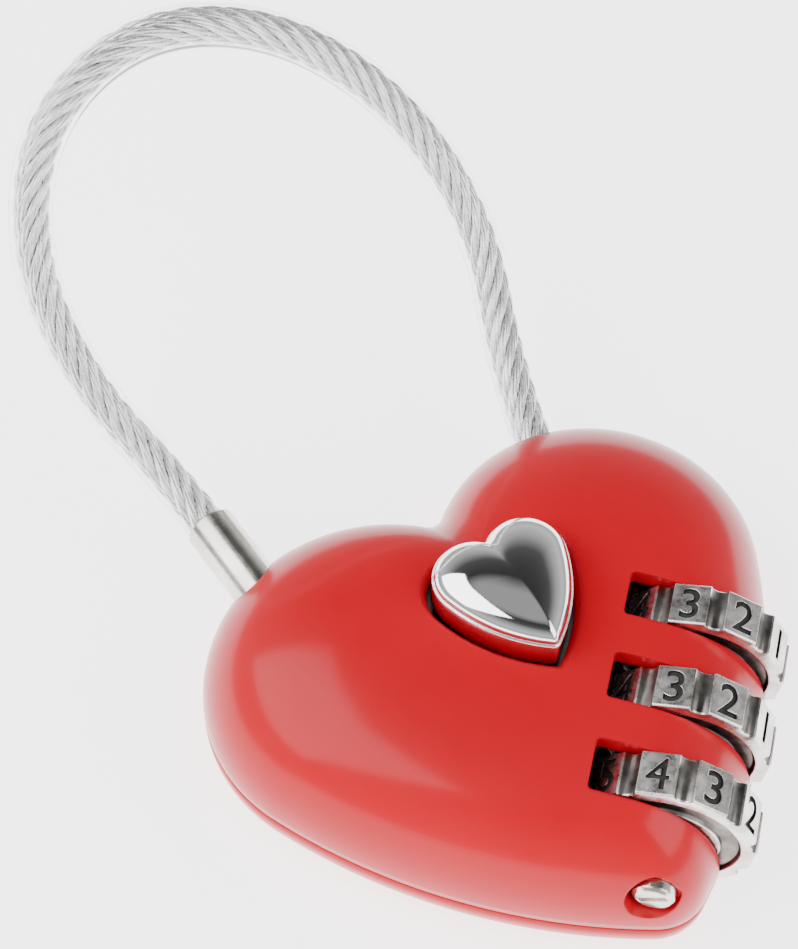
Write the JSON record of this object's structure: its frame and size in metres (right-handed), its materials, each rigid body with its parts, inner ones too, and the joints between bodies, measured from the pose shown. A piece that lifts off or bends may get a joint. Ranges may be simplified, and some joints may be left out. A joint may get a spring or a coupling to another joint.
{
  "type": "combination cable padlock",
  "caption": "Heart-shaped combination padlock: domed case, heart push button, dial wheels along one flank and a flexible coated cable shackle with a metal plug.",
  "frame": {"origin": "on the flat back face, on the heart's line of symmetry, level with the centres of the two lobes", "axes": "+Z out of the front face, +Y from the heart's tip towards the cable, +X to the right seen from the front"},
  "size_m": [0.0426, 0.0678, 0.0321],
  "materials": {
    "red_paint": "gloss",
    "screw_steel": "satin",
    "button_chrome": "mirror",
    "pressed_steel": "satin",
    "wheel_nickel": "antiqued satin",
    "brass": "satin",
    "shaft_nickel": "polished",
    "plug_nickel": "polished",
    "rope_steel": "twisted strands",
    "clear_vinyl": "clear soft vinyl",
    "spring_steel": "drawn"
  },
  "bodies": {
    "case": {"front_shell": "red_paint", "back_shell": "red_paint", "case_screws": "screw_steel", "end_crimp": "pressed_steel", "wire_rope": "rope_steel", "clear_coat": "clear_vinyl", "button_spring": "spring_steel", "bolt_spring": "spring_steel", "ejector_spring": "spring_steel", "reset_spring": "spring_steel", "detent_spring": "spring_steel"},
    "button": {"heart_button": "button_chrome", "latch_plate": "pressed_steel"},
    "bolt": {"locking_bolt": "pressed_steel"},
    "plug": {"cable_plug": "plug_nickel"},
    "wheel_1": {"dial_wheel_1": "wheel_nickel"},
    "wheel_2": {"dial_wheel_2": "wheel_nickel"},
    "wheel_3": {"dial_wheel_3": "wheel_nickel"},
    "sleeve_1": {"code_sleeve_1": "brass"},
    "sleeve_2": {"code_sleeve_2": "brass"},
    "sleeve_3": {"code_sleeve_3": "brass"},
    "shaft": {"reset_shaft": "shaft_nickel", "sleeve_spacer_1": "brass", "sleeve_spacer_2": "brass", "shaft_clip": "spring_steel"}
  },
  "joints": [
    {"name": "wheel_1_turn", "type": "hinge", "parent": "case", "child": "wheel_1", "pos_m": [0.00654, -0.01486, 0.0073], "axis": [-0.6921, -0.7218, 0], "continuous": true, "deforming": ["detent_spring"]},
    {"name": "wheel_2_turn", "type": "hinge", "parent": "case", "child": "wheel_2", "pos_m": [0.00654, -0.01486, 0.0073], "axis": [-0.6921, -0.7218, 0], "continuous": true},
    {"name": "wheel_3_turn", "type": "hinge", "parent": "case", "child": "wheel_3", "pos_m": [0.00654, -0.01486, 0.0073], "axis": [-0.6921, -0.7218, 0], "continuous": true},
    {"name": "button_press", "type": "slide", "parent": "case", "child": "button", "axis": [0, 0, 1], "range_m": [-0.0018, 0], "stiffness_N_per_m": 400, "springref_m": 0.003, "deforming": ["button_spring"]},
    {"name": "bolt_slide", "type": "slide", "parent": "case", "child": "bolt", "axis": [1, 0, 0], "range_m": [0, 0.0018], "deforming": ["bolt_spring"]},
    {"name": "plug_release", "type": "slide", "parent": "case", "child": "plug", "axis": [-0.0767, 0.9971, 0], "range_m": [0, 0.01], "deforming": ["ejector_spring", "wire_rope", "clear_coat"]},
    {"name": "reset_press", "type": "slide", "parent": "case", "child": "shaft", "axis": [0.6921, 0.7218, 0], "range_m": [0, 0.0009], "stiffness_N_per_m": 400, "springref_m": -0.0015, "deforming": ["reset_spring"]},
    {"name": "sleeve_1_shift", "type": "slide", "parent": "wheel_1", "child": "sleeve_1", "axis": [0.6921, 0.7218, 0], "range_m": [0, 0.0009]},
    {"name": "sleeve_2_shift", "type": "slide", "parent": "wheel_2", "child": "sleeve_2", "axis": [0.6921, 0.7218, 0], "range_m": [0, 0.0009]},
    {"name": "sleeve_3_shift", "type": "slide", "parent": "wheel_3", "child": "sleeve_3", "axis": [0.6921, 0.7218, 0], "range_m": [0, 0.0009]}
  ],
  "couplings": [
    {"joint": "bolt_slide", "follows": "button_press", "ratio": -1},
    {"joint": "plug_release", "follows": "button_press", "ratio": -5.55},
    {"joint": "sleeve_1_shift", "follows": "reset_press", "ratio": 1},
    {"joint": "sleeve_2_shift", "follows": "reset_press", "ratio": 1},
    {"joint": "sleeve_3_shift", "follows": "reset_press", "ratio": 1}
  ]
}
